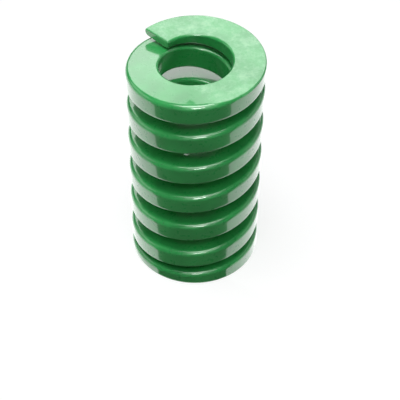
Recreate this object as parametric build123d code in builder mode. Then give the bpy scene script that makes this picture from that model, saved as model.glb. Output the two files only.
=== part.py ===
"""Heavy-load die spring, coiled from rectangular wire with closed and ground ends.

Millimetres, +Z along the spring's axis, origin at the centre of the lower ground end. The wire is
wound right-hand, and its lower and upper halves are the same, turned end for end.
"""

import os
from math import cos, pi, radians, sin

from build123d import *

# Driving dimensions
outer_diameter = 26.7  # clears a 27 mm hole
wire_width = 6.3  # radial side of the wire's section, leaving a bore that clears a 13.5 mm rod
wire_thickness = 5.1  # axial side of the wire's section
corner_break = 0.8  # flat taken off each corner of the wire
free_length = 50.0  # unloaded, between the two ground ends
total_coils = 6.95  # turns of wire from tip to tip, both closed ends included
tip_thickness = 1.7  # what grinding leaves of the wire at its cut tip
tip_gap = 0.5  # from a closed tip to the coil beside it
closed_turns = 0.9  # from each tip to the middle of where the pitch opens
opening_turns = 0.3  # over which the closed pitch opens into the active pitch
tip_azimuth = 136  # where the upper tip stands, from +X towards +Y
sections_per_turn = 18  # wire sections that the coil is lofted through

# The wire's centre line: it rises by the closed pitch from each tip, far enough in the first turn
# to clear the tip, and then opens evenly into the active pitch
coil_radius = (outer_diameter - wire_width) / 2
first_turn_rise = wire_thickness + tip_gap
closed_coils = 2
tip_height = tip_thickness - wire_thickness / 2
wound_length = free_length - 2 * tip_height
active_pitch = (wound_length - closed_coils * first_turn_rise) / (total_coils - closed_coils)
closed_pitch = (first_turn_rise - active_pitch * (1 - closed_turns)) / closed_turns

def opened_share(turns_from_tip):
    """How far the pitch has opened: 0 where it is closed, 1 where it is active."""
    return min(max((turns_from_tip - closed_turns) / opening_turns + 1 / 2, 0), 1)

def rise_per_turn(turns_from_tip):
    """Slope of the wire's centre line, in millimetres a turn."""
    return closed_pitch + (active_pitch - closed_pitch) * opened_share(turns_from_tip)

def rise_from_tip(turns_from_tip):
    """Height that the centre line has gained since its nearer tip."""
    active_turns = max(turns_from_tip - closed_turns - opening_turns / 2, 0)
    open_turns = active_turns + opening_turns * opened_share(turns_from_tip) ** 2 / 2
    return closed_pitch * turns_from_tip + (active_pitch - closed_pitch) * open_turns

def wire_plane(turns):
    """Plane square to the wire, with X pointing out from the axis, this many turns up the coil."""
    nearer_tip = min(turns, total_coils - turns)
    height = tip_height + rise_from_tip(nearer_tip)
    if turns > nearer_tip:
        height = free_length - height
    angle = radians(tip_azimuth) + 2 * pi * (turns - total_coils)
    outwards = Vector(cos(angle), sin(angle), 0)
    along = Vector(-sin(angle), cos(angle), rise_per_turn(nearer_tip) / (2 * pi * coil_radius))
    return Plane(outwards * coil_radius + Vector(0, 0, height), x_dir=outwards, z_dir=along)


section_count = round(total_coils * sections_per_turn)

with BuildPart() as spring_coil:
    # the coil as wound, tip to tip
    for index in range(section_count + 1):
        with BuildSketch(wire_plane(total_coils * index / section_count)) as wire_section:
            Rectangle(wire_width, wire_thickness)
            chamfer(wire_section.vertices(), corner_break)
    loft()
    # both ends ground flat and square to the axis
    split(bisect_by=Plane.XY, keep=Keep.TOP)
    split(bisect_by=Plane.XY.offset(free_length), keep=Keep.BOTTOM)

spring_coil.part.label = "spring_coil"

os.makedirs("parts", exist_ok=True)
export_step(spring_coil.part, "parts/spring_coil.step")
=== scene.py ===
"""Heavy-load die spring in gloss green enamel, standing on a pale studio floor.

Laid out as an add-on: one operator winds the coil round the fixed frame, and one sets up the stage.
All lengths are in metres, with +Z along the spring's axis and the origin under its middle.
"""

from math import atan, cos, pi, radians, sin

import bpy
from mathutils import Matrix, Vector


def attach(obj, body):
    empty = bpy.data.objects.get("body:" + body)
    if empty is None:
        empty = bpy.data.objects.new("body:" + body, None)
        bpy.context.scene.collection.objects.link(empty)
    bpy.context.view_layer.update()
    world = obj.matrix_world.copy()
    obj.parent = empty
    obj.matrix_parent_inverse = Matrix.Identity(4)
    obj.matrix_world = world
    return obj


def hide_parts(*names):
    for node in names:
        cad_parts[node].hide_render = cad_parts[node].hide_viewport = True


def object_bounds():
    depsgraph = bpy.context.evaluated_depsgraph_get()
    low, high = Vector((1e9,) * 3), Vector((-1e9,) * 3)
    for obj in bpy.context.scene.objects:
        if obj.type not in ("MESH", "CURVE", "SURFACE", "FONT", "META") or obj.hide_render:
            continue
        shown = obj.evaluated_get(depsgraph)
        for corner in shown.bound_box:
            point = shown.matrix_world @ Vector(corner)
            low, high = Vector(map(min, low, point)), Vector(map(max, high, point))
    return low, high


bl_info = {
    "name": "Die Spring",
    "version": (1, 0, 0),
    "blender": (4, 5, 0),
    "location": "3D View > Sidebar > Die Spring",
    "description": "Winds a die spring from rectangular wire and sets up a studio round it",
    "category": "Object",
}

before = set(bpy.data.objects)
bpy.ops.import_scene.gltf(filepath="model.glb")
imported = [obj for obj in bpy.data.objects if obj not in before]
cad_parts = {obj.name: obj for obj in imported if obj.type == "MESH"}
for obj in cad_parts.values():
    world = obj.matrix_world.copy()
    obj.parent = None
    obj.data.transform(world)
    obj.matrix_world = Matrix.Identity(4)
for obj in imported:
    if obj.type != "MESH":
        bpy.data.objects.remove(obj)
cad_low, cad_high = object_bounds()
MM = 0.001


class SpringSettings(bpy.types.PropertyGroup):
    """Sizes and colours of the spring."""

    outer_diameter: bpy.props.FloatProperty(
        name="Outer Diameter",
        description="Across the outside of the coils",
        default=cad_high.x - cad_low.x,
        unit="LENGTH",
        precision=5,
    )
    free_length: bpy.props.FloatProperty(
        name="Free Length",
        description="Unloaded, between the two ground ends",
        default=cad_high.z - cad_low.z,
        unit="LENGTH",
        precision=5,
    )
    wire_width: bpy.props.FloatProperty(
        name="Wire Width",
        description="Radial side of the wire's section",
        default=6.3 * MM,
        unit="LENGTH",
        precision=5,
    )
    wire_thickness: bpy.props.FloatProperty(
        name="Wire Thickness",
        description="Axial side of the wire's section, on the inside of the coil",
        default=5.1 * MM,
        unit="LENGTH",
        precision=5,
    )
    wire_taper: bpy.props.FloatProperty(
        name="Wire Taper",
        description="How much thinner coiling leaves the wire's outer side than its inner one",
        default=0.5 * MM,
        unit="LENGTH",
        precision=5,
    )
    outer_corner: bpy.props.FloatProperty(
        name="Outer Corner",
        description="Rounding of the wire's corners on the outside of the coil",
        default=0.95 * MM,
        unit="LENGTH",
        precision=5,
    )
    inner_corner: bpy.props.FloatProperty(
        name="Inner Corner",
        description="Rounding of the wire's corners on the inside of the coil",
        default=0.6 * MM,
        unit="LENGTH",
        precision=5,
    )
    total_coils: bpy.props.FloatProperty(
        name="Coils",
        description="Turns of wire from tip to tip, both closed ends included",
        default=6.95,
    )
    tip_thickness: bpy.props.FloatProperty(
        name="Tip Thickness",
        description="What grinding leaves of the wire at its cut tip",
        default=1.7 * MM,
        unit="LENGTH",
        precision=5,
    )
    tip_gap: bpy.props.FloatProperty(
        name="Tip Gap",
        description="From a closed tip to the coil beside it",
        default=0.5 * MM,
        unit="LENGTH",
        precision=5,
    )
    closed_turns: bpy.props.FloatProperty(
        name="Closed Turns",
        description="Turns from each tip to the middle of where the pitch opens",
        default=0.9,
    )
    opening_turns: bpy.props.FloatProperty(
        name="Opening Turns",
        description="Turns over which the closed pitch opens into the active pitch",
        default=0.3,
    )
    tip_azimuth: bpy.props.FloatProperty(
        name="Tip Azimuth",
        description="Where the upper tip stands, from +X towards +Y",
        default=radians(136),
        subtype="ANGLE",
    )
    rim_radius: bpy.props.FloatProperty(
        name="Rim Radius",
        description="Rounding of the ground faces' rims and the cut tips, under the paint",
        default=0.45 * MM,
        unit="LENGTH",
        precision=5,
    )
    enamel: bpy.props.FloatVectorProperty(
        name="Enamel",
        description="Colour of the green enamel",
        subtype="COLOR",
        size=3,
        min=0,
        max=1,
        default=(0.045, 0.47, 0.115),
    )
    # this pale colour is partly thin enamel and partly painted haze, standing in for the lamps'
    # reflection on the ground ends
    thin_enamel_and_painted_haze: bpy.props.FloatVectorProperty(
        name="Thin Enamel",
        description="Colour where the enamel lies thin over the ground ends",
        subtype="COLOR",
        size=3,
        min=0,
        max=1,
        default=(0.34, 0.72, 0.40),
    )
    bare_steel: bpy.props.FloatVectorProperty(
        name="Bare Steel",
        description="Colour of the scuffs along the edges",
        subtype="COLOR",
        size=3,
        min=0,
        max=1,
        default=(0.06, 0.10, 0.07),
    )


class StudioSettings(bpy.types.PropertyGroup):
    """Where the camera stands and how it looks down on the spring."""

    camera_place: bpy.props.FloatVectorProperty(
        name="Camera",
        description="Where the camera stands",
        subtype="TRANSLATION",
        size=3,
        default=(0, -0.1750, 0.1982),
        precision=4,
    )
    camera_pitch: bpy.props.FloatProperty(
        name="Pitch",
        description="Downward tilt of the camera",
        subtype="ANGLE",
        default=radians(46.86),
    )
    camera_yaw: bpy.props.FloatProperty(
        name="Yaw",
        description="Turn of the camera towards +X",
        subtype="ANGLE",
        default=radians(0.35),
    )
    camera_roll: bpy.props.FloatProperty(
        name="Roll",
        description="Turn of the camera about its view",
        subtype="ANGLE",
        default=radians(0.62),
    )
    camera_lens: bpy.props.FloatProperty(
        name="Focal Length",
        description="In millimetres, on a 36 mm sensor",
        default=109.7,
    )


# ---------------------------------------------------------------- helpers


def deselect_all():
    """Leaves edit mode and deselects every object, the frame's nodes included."""
    if bpy.context.mode != "OBJECT":
        bpy.ops.object.mode_set(mode="OBJECT")
    bpy.ops.object.select_all(action="DESELECT")


def apply_modifiers(piece):
    """Applies the piece's modifiers from top to bottom."""
    for name in [modifier.name for modifier in piece.modifiers]:
        bpy.ops.object.modifier_apply(modifier=name)


# ---------------------------------------------------------------- the coil


SECTIONS_PER_TURN = 128
CORNER_SEGMENTS = 6
TIP_ROUNDING = 0.7  # of the rim's radius, along the edges of the cut tips
TIP_SEGMENTS = 3
SHARP_TIP_ANGLE = radians(60)  # edges sharper than this at the tips are rounded
SMOOTH_ANGLE = radians(40)  # edges flatter than this are shaded smooth
MERGE_DISTANCE = 0.001 * MM  # corners that the rounding leaves in one place become one


class WireLine:
    """The wire's line, with the closed pitch at each tip opening evenly into the active pitch."""

    def __init__(self, spring):
        self.spring = spring
        self.radius = (spring.outer_diameter - spring.wire_width) / 2
        self.coils = spring.total_coils
        self.tip_height = spring.tip_thickness - spring.wire_thickness / 2
        first_turn = spring.wire_thickness + spring.tip_gap
        wound_length = spring.free_length - 2 * self.tip_height
        self.pitch = (wound_length - 2 * first_turn) / (spring.total_coils - 2)
        self.closed = spring.closed_turns
        self.opening = spring.opening_turns
        self.closed_pitch = (first_turn - self.pitch * (1 - self.closed)) / self.closed

    def corner_point(self, side, across, up, depth):
        """Where a point of a rounded corner lies, from the wire's middle.

        Side is 1 for the outer corners and -1 for the inner ones. Across and up place the point on
        the corner's arc, from 0 to 1. Depth is how far from the wire's middle it is ground off.
        """
        spring = self.spring
        corner = spring.outer_corner if side > 0 else spring.inner_corner
        thickness = spring.wire_thickness - (spring.wire_taper if side > 0 else 0)
        out, upright = spring.wire_width / 2 - corner, thickness / 2 - corner

        # where grinding has cut into the section, the ground face gets a rim of its own radius
        if depth < upright + corner:
            rim_up = depth - spring.rim_radius
            lift = min(max((rim_up - upright) / (corner - spring.rim_radius), 0), 1)
            if up > lift or lift == 0:
                out += (corner - spring.rim_radius) * (1 - lift**2) ** 0.5
                corner, upright = spring.rim_radius, rim_up
        return side * (out + corner * across), upright + corner * up

    def place(self, turns, side, across, end, up):
        """Where a point of the wire's section lies, that many turns up the coil.

        Side, across and up are as for corner_point. End is 1 for the upper corners and -1 for the
        lower ones.
        """
        # how far the pitch has opened, and how far up the centre line has come since the nearer tip
        nearer_tip = min(turns, self.coils - turns)
        opened = min(max((nearer_tip - self.closed) / self.opening + 0.5, 0), 1)
        slope = self.closed_pitch + (self.pitch - self.closed_pitch) * opened
        beyond = max(nearer_tip - self.closed - self.opening / 2, 0)
        height = self.tip_height + self.closed_pitch * nearer_tip
        height += (self.pitch - self.closed_pitch) * (self.opening * opened**2 / 2 + beyond)
        lean = atan(slope / (2 * pi * self.radius))

        # only the corners that face the nearer end are ground: the rest get a depth past the wire
        nearer_end = 1 if turns > nearer_tip else -1
        depth = height / cos(lean) if end == nearer_end else self.spring.free_length
        out, upright = self.corner_point(side, across, up, depth)

        # the upper half is the lower one turned end for end
        if turns > nearer_tip:
            height = self.spring.free_length - height
        angle = self.spring.tip_azimuth + 2 * pi * (turns - self.coils)
        outwards = Vector((cos(angle), sin(angle), 0))
        along = Vector((-sin(angle), cos(angle), 0))
        upwards = Vector((0, 0, cos(lean))) - along * sin(lean)
        return outwards * (self.radius + out) + Vector((0, 0, height)) + upwards * upright * end


def section_points(wire, line, spring):
    """Each point of the flat section, as the side, across, end and up that WireLine.place takes."""
    points = []
    for vertex in wire.data.vertices:
        out, rise = vertex.co.x - line.radius, vertex.co.z
        across = (abs(out) - spring.wire_width / 2) / spring.outer_corner + 1
        up = (abs(rise) - spring.wire_thickness / 2) / spring.outer_corner + 1
        points.append((1 if out > 0 else -1, max(across, 0), 1 if rise > 0 else -1, max(up, 0)))
    return points


def wound_wire(spring):
    """The wire wound tip to tip, its ends ground flat, and closed at both cut tips."""
    line = WireLine(spring)
    deselect_all()
    bpy.ops.mesh.primitive_plane_add(size=1, location=(line.radius, 0, 0), rotation=(pi / 2, 0, 0))
    wire = bpy.context.object
    wire.name = "wound_coil"
    wire.scale = (spring.wire_width, spring.wire_thickness, 1)
    bpy.ops.object.transform_apply(location=True, rotation=True, scale=True)

    bpy.ops.object.mode_set(mode="EDIT")
    bpy.ops.mesh.select_all(action="SELECT")
    bpy.ops.mesh.bevel(offset=spring.outer_corner, segments=CORNER_SEGMENTS, affect="VERTICES")
    bpy.ops.mesh.select_all(action="SELECT")
    bpy.ops.mesh.delete(type="ONLY_FACE")
    bpy.ops.object.mode_set(mode="OBJECT")
    section = section_points(wire, line, spring)

    # a plain screw of sections, each then set on the wire's own line
    screw = wire.modifiers.new("Wind", "SCREW")
    screw.angle = 2 * pi * spring.total_coils
    screw.screw_offset = line.pitch * spring.total_coils
    screw.steps = screw.render_steps = round(SECTIONS_PER_TURN * spring.total_coils)
    apply_modifiers(wire)
    for number, vertex in enumerate(wire.data.vertices):
        step, point = divmod(number, len(section))
        vertex.co = line.place(step / SECTIONS_PER_TURN, *section[point])

    # 1 along the middle of each rounded corner and 0 on the flats, for the wear on the paint
    edge = wire.data.attributes.new("edge", "FLOAT", "POINT")
    nearness = [2 * across * up for _, across, _, up in section]
    edge.data.foreach_set("value", nearness * (len(wire.data.vertices) // len(section)))

    bpy.ops.object.mode_set(mode="EDIT")
    bpy.ops.mesh.select_all(action="SELECT")
    bpy.ops.mesh.fill_holes(sides=0)
    bpy.ops.mesh.select_all(action="SELECT")
    bpy.ops.mesh.normals_make_consistent(inside=False)
    bpy.ops.object.mode_set(mode="OBJECT")
    return wire


def round_tips(wire, spring):
    """Rounds the edges of the two cut tips."""
    bevel = wire.modifiers.new("Tips", "BEVEL")
    bevel.limit_method = "ANGLE"
    bevel.angle_limit = SHARP_TIP_ANGLE
    bevel.width = spring.rim_radius * TIP_ROUNDING
    bevel.segments = TIP_SEGMENTS
    apply_modifiers(wire)
    bpy.ops.object.mode_set(mode="EDIT")
    bpy.ops.mesh.select_all(action="SELECT")
    bpy.ops.mesh.remove_doubles(threshold=MERGE_DISTANCE)
    bpy.ops.object.mode_set(mode="OBJECT")


def add_node(tree, kind, x, y, sources=(), **values):
    """A node of that kind in the tree, with its plain settings and the links into its sockets."""
    node = tree.nodes.new(kind)
    node.location = (x, y)
    for name, value in values.items():
        setattr(node, name, value)
    for socket, source in sources:
        if hasattr(source, "is_output"):
            tree.links.new(source, node.inputs[socket])
        else:
            node.inputs[socket].default_value = source
    return node


def add_math(tree, x, y, operation, *values):
    """The outcome of a sum on numbers or sockets."""
    return add_node(tree, "ShaderNodeMath", x, y, enumerate(values), operation=operation).outputs[0]


def add_ramp(tree, x, y, value, low, high, to_low=0.0, to_high=1.0):
    """The value taken smoothly from one range to another."""
    sources = (
        ("Value", value),
        ("From Min", low),
        ("From Max", high),
        ("To Min", to_low),
        ("To Max", to_high),
    )
    ramp = add_node(tree, "ShaderNodeMapRange", x, y, sources, interpolation_type="SMOOTHSTEP")
    return ramp.outputs["Result"]


def add_noise(tree, x, y, place, scale, detail=2.0, roughness=0.5):
    """Even noise, with that many features to the metre."""
    sources = (("Vector", place), ("Scale", scale), ("Detail", detail), ("Roughness", roughness))
    return add_node(tree, "ShaderNodeTexNoise", x, y, sources).outputs[0]


def add_blend(tree, x, y, share, first, second):
    """One colour blended into another."""
    # the sockets for numbers and for colours share their names, so they go by place
    sources = ((0, share), (6, first), (7, second))
    return add_node(tree, "ShaderNodeMix", x, y, sources, data_type="RGBA").outputs[2]


DEEP_ENAMEL = 0.78  # of the enamel's colour, where it lies deepest
GROUND_FROM = 0.08 * MM  # how near the end planes the ground finish and its painted haze start
GROUND_FULL = 0.01 * MM  # and how near them it is full
PAINT_ROUGHNESS = (0.26, 0.34)  # least and most
GROUND_ROUGHNESS = (0.34, 0.52)
GRINDING_ANGLE = 0.6  # radians, across the ground faces
GRINDING_SHARE = 0.8  # of the relief, in the marks of grinding
RELIEF_DEPTH = 0.012 * MM
NOISE_RANGE = (0.3, 0.7)  # what even noise mostly keeps to


def enamel_material(spring):
    """Gloss green enamel: orange peel, a mottled haze over the ground ends, partly painted in as a
    paler colour, and scuffed edges.
    """
    material = bpy.data.materials.new("green_enamel")
    material.use_nodes = True
    tree = material.node_tree
    shader = tree.nodes["Principled BSDF"]
    place = add_node(tree, "ShaderNodeTexCoord", -2000, 0).outputs["Object"]
    height = add_node(tree, "ShaderNodeSeparateXYZ", -1800, 300, ((0, place),)).outputs["Z"]
    half = spring.free_length / 2
    offset = add_math(tree, -1700, 300, "SUBTRACT", height, half)
    from_middle = add_math(tree, -1600, 300, "ABSOLUTE", offset)
    ground = add_ramp(tree, -1450, 300, from_middle, half - GROUND_FROM, half - GROUND_FULL)
    edge = add_node(tree, "ShaderNodeAttribute", -1800, -300, attribute_name="edge").outputs["Fac"]

    # colour: uneven in depth all over
    drift = add_noise(tree, -1600, 0, place, scale=160)
    depth = add_ramp(tree, -1400, 0, drift, *NOISE_RANGE)
    deep = (*(channel * DEEP_ENAMEL for channel in spring.enamel), 1)
    colour = add_blend(tree, -1200, 0, depth, deep, (*spring.enamel, 1))

    # colour: thin and pale over the ground ends, in blotches and in a finer mottle. The paleness is
    # partly thin enamel and partly painted haze, a painted reflection of the lamps that makes the
    # ground ends lighter
    mottle = add_noise(tree, -1600, -150, place, scale=900, detail=4, roughness=0.65)
    clouds = add_noise(tree, -1600, -50, place, scale=260, detail=5, roughness=0.7)
    blotches = add_ramp(tree, -1400, -50, clouds, low=0.45, high=0.68, to_high=0.45)
    mottling = add_ramp(tree, -1400, -150, mottle, low=0.4, high=0.7, to_high=0.35)
    thin = add_math(tree, -1250, -100, "ADD", blotches, mottling)
    thin = add_math(tree, -1100, -100, "MULTIPLY", ground, thin)
    # painted haze: this blend lightens the ground ends as a reflection of the lamps would, besides
    # the thin enamel
    colour = add_blend(tree, -1000, 0, thin, colour, (*spring.thin_enamel_and_painted_haze, 1))

    # colour: rubbed and chipped in patches along the edges
    patches = add_noise(tree, -1600, -450, place, scale=330, detail=3)
    speckle = add_noise(tree, -1600, -600, place, scale=5200, detail=2)
    worn = add_ramp(tree, -1400, -450, patches, low=0.56, high=0.72)
    chips = add_ramp(tree, -1250, -600, speckle, low=0.56, high=0.62)
    rubbed = add_math(tree, -1250, -450, "MULTIPLY", edge, worn)
    scuffs = add_math(tree, -1100, -450, "MULTIPLY", rubbed, chips)
    colour = add_blend(tree, -800, 0, scuffs, colour, (*spring.bare_steel, 1))
    tree.links.new(colour, shader.inputs["Base Color"])

    # gloss: the enamel's own, broken by fine grinding under the paint at the ends
    gloss = add_ramp(tree, -1000, -300, mottle, *NOISE_RANGE, *PAINT_ROUGHNESS)
    haze = add_ramp(tree, -1000, -450, mottle, *NOISE_RANGE, *GROUND_ROUGHNESS)
    sources = ((0, ground), (2, gloss), (3, haze))
    roughness = add_node(tree, "ShaderNodeMix", -800, -300, sources).outputs[0]
    tree.links.new(roughness, shader.inputs["Roughness"])
    shader.inputs["Specular IOR Level"].default_value = 0.4
    shader.inputs["Coat Weight"].default_value = 1
    shader.inputs["Coat Roughness"].default_value = 0.05

    # relief: orange peel, and the pits and streaks that grinding left under the paint
    peel = add_noise(tree, -1600, -800, place, scale=520, detail=1)
    sources = (("Vector", place), ("Rotation", (0, 0, GRINDING_ANGLE)), ("Scale", (1, 7, 1)))
    along_grinding = add_node(tree, "ShaderNodeMapping", -1800, -950, sources).outputs[0]
    streaks = add_noise(tree, -1600, -950, along_grinding, scale=420, detail=3)
    marks = add_math(tree, -1450, -900, "ADD", mottle, streaks)
    marks = add_math(tree, -1300, -900, "MULTIPLY", ground, marks)
    marks = add_math(tree, -1200, -900, "MULTIPLY", marks, GRINDING_SHARE)
    relief = add_math(tree, -1100, -850, "ADD", peel, marks)
    sources = (("Distance", RELIEF_DEPTH), ("Height", relief))
    bump = add_node(tree, "ShaderNodeBump", -800, -800, sources)
    tree.links.new(bump.outputs[0], shader.inputs["Normal"])
    tree.links.new(bump.outputs[0], shader.inputs["Coat Normal"])
    return material


class SPRING_OT_coil(bpy.types.Operator):
    """Wind the coil from rectangular wire, grind its ends and paint it"""

    bl_idname = "spring.coil"
    bl_label = "Coil"
    bl_options = {"REGISTER", "UNDO"}

    def execute(self, context):
        spring = context.scene.spring
        wire = wound_wire(spring)
        round_tips(wire, spring)
        bpy.ops.object.shade_smooth_by_angle(angle=SMOOTH_ANGLE)
        normals = wire.modifiers.new("Flats", "WEIGHTED_NORMAL")
        normals.keep_sharp = True
        apply_modifiers(wire)
        wire.data.materials.append(enamel_material(spring))
        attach(wire, "root")
        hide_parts("spring_coil")
        return {"FINISHED"}


# ---------------------------------------------------------------- the studio


# name, place, width, height, radiance, and whether it lights the paint or only shows in its gloss
LAMPS = (
    ("back_softbox", (0.06, 0.457, 0.375), 0.80, 0.282, 3.6, False),
    ("overhead_softbox", (-0.05, -0.06, 0.60), 0.30, 0.25, 9.5, True),
    ("front_softbox", (0, -0.30, 0.51), 0.40, 0.12, 4, True),
    ("left_softbox", (-0.45, 0.10, 0.28), 0.40, 0.28, 1.3, True),
    ("right_softbox", (0.45, 0.05, 0.28), 0.40, 0.28, 1.0, True),
    ("low_softbox", (0, -0.60, 0.27), 0.60, 0.20, 0.8, False),
    ("streak_lamp", (-0.01, -0.44, 0.36), 0.15, 0.05, 55, False),
)
ROOM_LIGHT = 0.03  # radiance of the room round the lamps

FLOOR_SIZE = 4
FLOOR_HEIGHT = -0.01 * MM  # just clear of the lower ground face
FLOOR_COLOUR = (0.28, 0.283, 0.286, 1)
FLOOR_SEEN = 0.79  # glow that the camera sees, which leaves the shadows
FLOOR_IN_GLOSS = 1.4  # glow that shows in the gloss

# spreads out from the spring's front, so that the middle of each coil shows dark and the sides pale
CLOTH_OUTLINE = (
    (-0.0076, -0.011),
    (-0.50, -0.194),
    (-0.50, -0.60),
    (0.50, -0.60),
    (0.50, -0.30),
    (0.0067, -0.0116),
    (0.0045, -0.010),
)
CLOTH_HEIGHT = 0.5 * MM
CLOTH_COLOUR = (0.12, 0.20, 0.13, 1)


def add_lamp(name, place, target, width, height, radiance, lights):
    """A rectangular lamp at that place, facing the target, as bright as the radiance says.

    Lights is False for a lamp that only shows in the gloss.
    """
    lamp = bpy.data.lights.new(name, "AREA")
    lamp.shape = "RECTANGLE"
    lamp.size, lamp.size_y = width, height
    lamp.energy = radiance * width * height * pi
    holder = bpy.data.objects.new(name, lamp)
    bpy.context.scene.collection.objects.link(holder)
    holder.location = place
    holder.rotation_euler = (target - Vector(place)).to_track_quat("-Z", "Y").to_euler()
    holder.visible_diffuse = lights


def add_floor():
    """Pale floor, white to the camera apart from its shadows, that shows bright in the gloss."""
    deselect_all()
    bpy.ops.mesh.primitive_plane_add(size=FLOOR_SIZE, location=(0, 0, FLOOR_HEIGHT))
    floor = bpy.context.object
    floor.name = "studio_floor"
    material = bpy.data.materials.new("studio_floor")
    material.use_nodes = True
    tree = material.node_tree
    tree.nodes.clear()
    paper = add_node(tree, "ShaderNodeBsdfDiffuse", 0, 0, (("Color", FLOOR_COLOUR),))
    path = add_node(tree, "ShaderNodeLightPath", -600, -150)
    seen = add_math(tree, -400, -100, "MULTIPLY", path.outputs["Is Camera Ray"], FLOOR_SEEN)
    shown = add_math(tree, -400, -250, "MULTIPLY", path.outputs["Is Glossy Ray"], FLOOR_IN_GLOSS)
    strength = add_math(tree, -200, -150, "ADD", seen, shown)
    glow = add_node(tree, "ShaderNodeEmission", 0, -150, (("Strength", strength),))
    sources = ((0, paper.outputs[0]), (1, glow.outputs[0]))
    both = add_node(tree, "ShaderNodeAddShader", 200, 0, sources)
    add_node(tree, "ShaderNodeOutputMaterial", 400, 0, (("Surface", both.outputs[0]),))
    floor.data.materials.append(material)


def add_dark_cloth():
    """A dark green cloth on the floor in front, that shows only in the gloss and as shade."""
    deselect_all()
    bpy.ops.mesh.primitive_circle_add(
        vertices=len(CLOTH_OUTLINE), radius=1, fill_type="NGON", location=(0, 0, 0)
    )
    cloth = bpy.context.object
    cloth.name = "front_cloth"
    for vertex, (x, y) in zip(cloth.data.vertices, CLOTH_OUTLINE):
        vertex.co = (x, y, CLOTH_HEIGHT)
    material = bpy.data.materials.new("front_cloth")
    material.use_nodes = True
    shader = material.node_tree.nodes["Principled BSDF"]
    shader.inputs["Base Color"].default_value = CLOTH_COLOUR
    shader.inputs["Roughness"].default_value = 0.9
    cloth.data.materials.append(material)
    cloth.visible_camera = cloth.visible_shadow = False


def add_room():
    """A room that is white to the camera and dim as light."""
    world = bpy.data.worlds.new("studio_world")
    world.use_nodes = True
    tree = world.node_tree
    background = tree.nodes["Background"]
    background.inputs["Color"].default_value = (1, 1, 1, 1)
    seen = add_node(tree, "ShaderNodeLightPath", -500, 0).outputs["Is Camera Ray"]
    strength = add_ramp(tree, -250, 0, seen, low=0, high=1, to_low=ROOM_LIGHT)
    tree.links.new(strength, background.inputs["Strength"])
    bpy.context.scene.world = world


def add_camera(studio):
    """The camera, looking down on the spring from in front."""
    lens = bpy.data.cameras.new("camera")
    lens.sensor_width = 36
    lens.lens = studio.camera_lens
    camera = bpy.data.objects.new("camera", lens)
    bpy.context.scene.collection.objects.link(camera)
    camera.matrix_world = (
        Matrix.Translation(studio.camera_place)
        @ Matrix.Rotation(-studio.camera_yaw, 4, "Z")
        @ Matrix.Rotation(pi / 2 - studio.camera_pitch, 4, "X")
        @ Matrix.Rotation(studio.camera_roll, 4, "Z")
    )
    bpy.context.scene.camera = camera


class SPRING_OT_studio(bpy.types.Operator):
    """Set up the floor, the lamps, the dark cloth, the white room and the camera"""

    bl_idname = "spring.studio"
    bl_label = "Studio"
    bl_options = {"REGISTER", "UNDO"}

    def execute(self, context):
        scene = context.scene
        add_floor()
        top = Vector((0, 0, scene.spring.free_length))
        for name, place, width, height, radiance, lights in LAMPS:
            add_lamp(name, place, top, width, height, radiance, lights)
        add_dark_cloth()
        add_room()
        add_camera(scene.spring_studio)
        scene.view_settings.view_transform = "Standard"
        return {"FINISHED"}


class SPRING_PT_panel(bpy.types.Panel):
    """Lists the spring's sizes and its operators"""

    bl_label = "Die Spring"
    bl_idname = "SPRING_PT_panel"
    bl_space_type = "VIEW_3D"
    bl_region_type = "UI"
    bl_category = "Die Spring"

    def draw(self, context):
        layout = self.layout
        for settings, operator in (
            (context.scene.spring, "spring.coil"),
            (context.scene.spring_studio, "spring.studio"),
        ):
            column = layout.column(align=True)
            for name in type(settings).__annotations__:
                column.prop(settings, name)
            column.operator(operator)


CLASSES = (SpringSettings, StudioSettings, SPRING_OT_coil, SPRING_OT_studio, SPRING_PT_panel)


def register():
    for cls in CLASSES:
        bpy.utils.register_class(cls)
    bpy.types.Scene.spring = bpy.props.PointerProperty(type=SpringSettings)
    bpy.types.Scene.spring_studio = bpy.props.PointerProperty(type=StudioSettings)


def unregister():
    del bpy.types.Scene.spring_studio
    del bpy.types.Scene.spring
    for cls in reversed(CLASSES):
        bpy.utils.unregister_class(cls)


def main():
    register()
    bpy.ops.spring.coil()
    bpy.ops.spring.studio()


if __name__ == "__main__":
    main()
